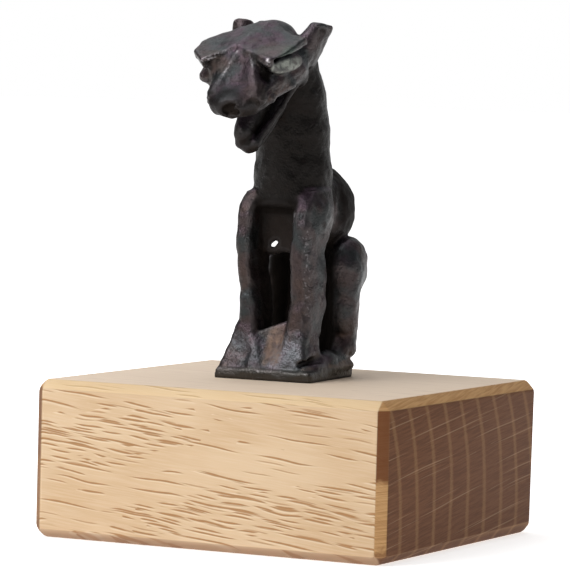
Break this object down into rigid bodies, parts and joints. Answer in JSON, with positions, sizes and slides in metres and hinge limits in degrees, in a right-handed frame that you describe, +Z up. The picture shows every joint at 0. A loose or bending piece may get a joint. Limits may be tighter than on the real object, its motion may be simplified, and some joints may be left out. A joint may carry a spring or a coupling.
{
  "type": "mythical creature statuette on a plinth",
  "caption": "Small cast bronze beast seated upright with open jaws, on its cast base plate and a chamfered oak block plinth.",
  "frame": {"origin": "centre of the plinth's underside", "axes": "+Z up; the beast and the plinth's face-grain side face -Y; +X is the beast's left"},
  "size_m": [0.0614, 0.0572, 0.0825],
  "materials": {
    "oak": "raw, finely sanded, matt",
    "bronze": "dark brown-black patina, worn satin"
  },
  "bodies": {
    "root": {"plinth": "oak", "figure": "bronze"}
  },
  "joints": []
}
